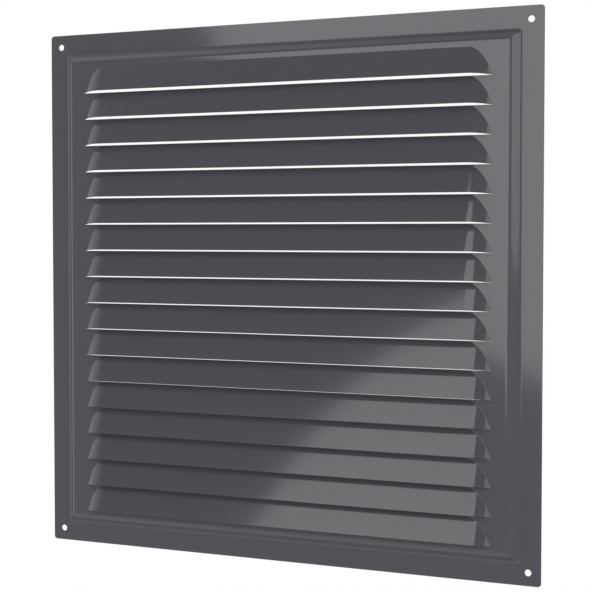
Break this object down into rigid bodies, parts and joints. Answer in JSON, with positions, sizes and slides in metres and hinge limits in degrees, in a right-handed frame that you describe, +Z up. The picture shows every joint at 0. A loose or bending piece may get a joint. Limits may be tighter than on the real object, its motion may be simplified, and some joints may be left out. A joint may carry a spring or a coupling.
{
  "type": "ventilation grille",
  "caption": "Square pressed-steel ventilation grille: a flat wall flange with corner screw holes around a raised panel of outward louvre hoods.",
  "frame": {"origin": "centre of the flange's back face, the face that lies on the wall, midway between the screw holes", "axes": "+Z up the wall, +Y into the wall, +X to the right as seen from the front; the louvred front faces -Y"},
  "size_m": [0.3, 0.0117, 0.3],
  "materials": {
    "enamel": "semi-gloss graphite grey enamel"
  },
  "bodies": {
    "root": {"grille": "enamel"}
  },
  "joints": []
}
